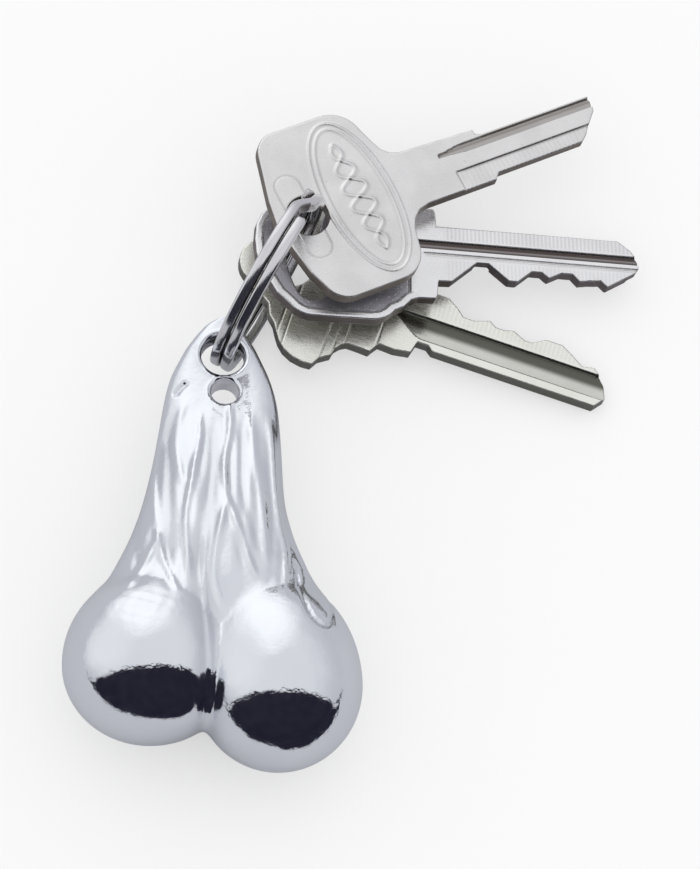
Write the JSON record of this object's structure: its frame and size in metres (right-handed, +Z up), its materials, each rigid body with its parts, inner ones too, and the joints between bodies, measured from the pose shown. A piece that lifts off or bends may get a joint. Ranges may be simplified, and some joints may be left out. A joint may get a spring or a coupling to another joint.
{
  "type": "keychain",
  "caption": "Chrome two-lobed pendant with a flat holed tab, linked by a two-turn split ring to an uncut blank, a cut house key and a key with a scalloped bow.",
  "frame": {"origin": "on the table, under the middle of the whole keychain's footprint, as it lies", "axes": "+Z up from the table; +Y from the pendant's lobes towards its tab; +X towards the key blades' tips"},
  "size_m": [0.0828, 0.1002, 0.0275],
  "materials": {
    "chrome_casting": "bright chrome plate over a soft, hand-finished casting",
    "spring_wire": "polished spring steel with fine drawing lines",
    "emblem_nickel": "satin nickel plate, warm light grey",
    "house_nickel": "nickel plate, stippled sunk panel and bright rim",
    "scalloped_nickel": "nickel silver, slightly yellow green, fine machining lines"
  },
  "bodies": {
    "pendant": {"pendant": "chrome_casting"},
    "ring": {"split_ring": "spring_wire"},
    "top_key": {"emblem_key": "emblem_nickel"},
    "middle_key": {"house_key": "house_nickel"},
    "bottom_key": {"scalloped_key": "scalloped_nickel"}
  },
  "joints": [
    {"name": "ring_swing", "type": "hinge", "parent": "pendant", "child": "ring", "pos_m": [-0.0189, 0.00804, 0.01055], "axis": [0, 0, 1], "range_deg": [-40, 60]},
    {"name": "top_key_swing", "type": "hinge", "parent": "ring", "child": "top_key", "pos_m": [-0.00651, 0.02869, 0.01253], "axis": [0.0958, 0, 0.9954], "range_deg": [-40, 90]},
    {"name": "middle_key_swing", "type": "hinge", "parent": "ring", "child": "middle_key", "pos_m": [-0.00686, 0.02869, 0.00861], "axis": [0.0958, 0, 0.9954], "range_deg": [-25, 60]},
    {"name": "bottom_key_swing", "type": "hinge", "parent": "ring", "child": "bottom_key", "pos_m": [-0.0086, 0.02569, 0.00423], "axis": [0.0628, 0, 0.998], "range_deg": [-15, 60]}
  ]
}
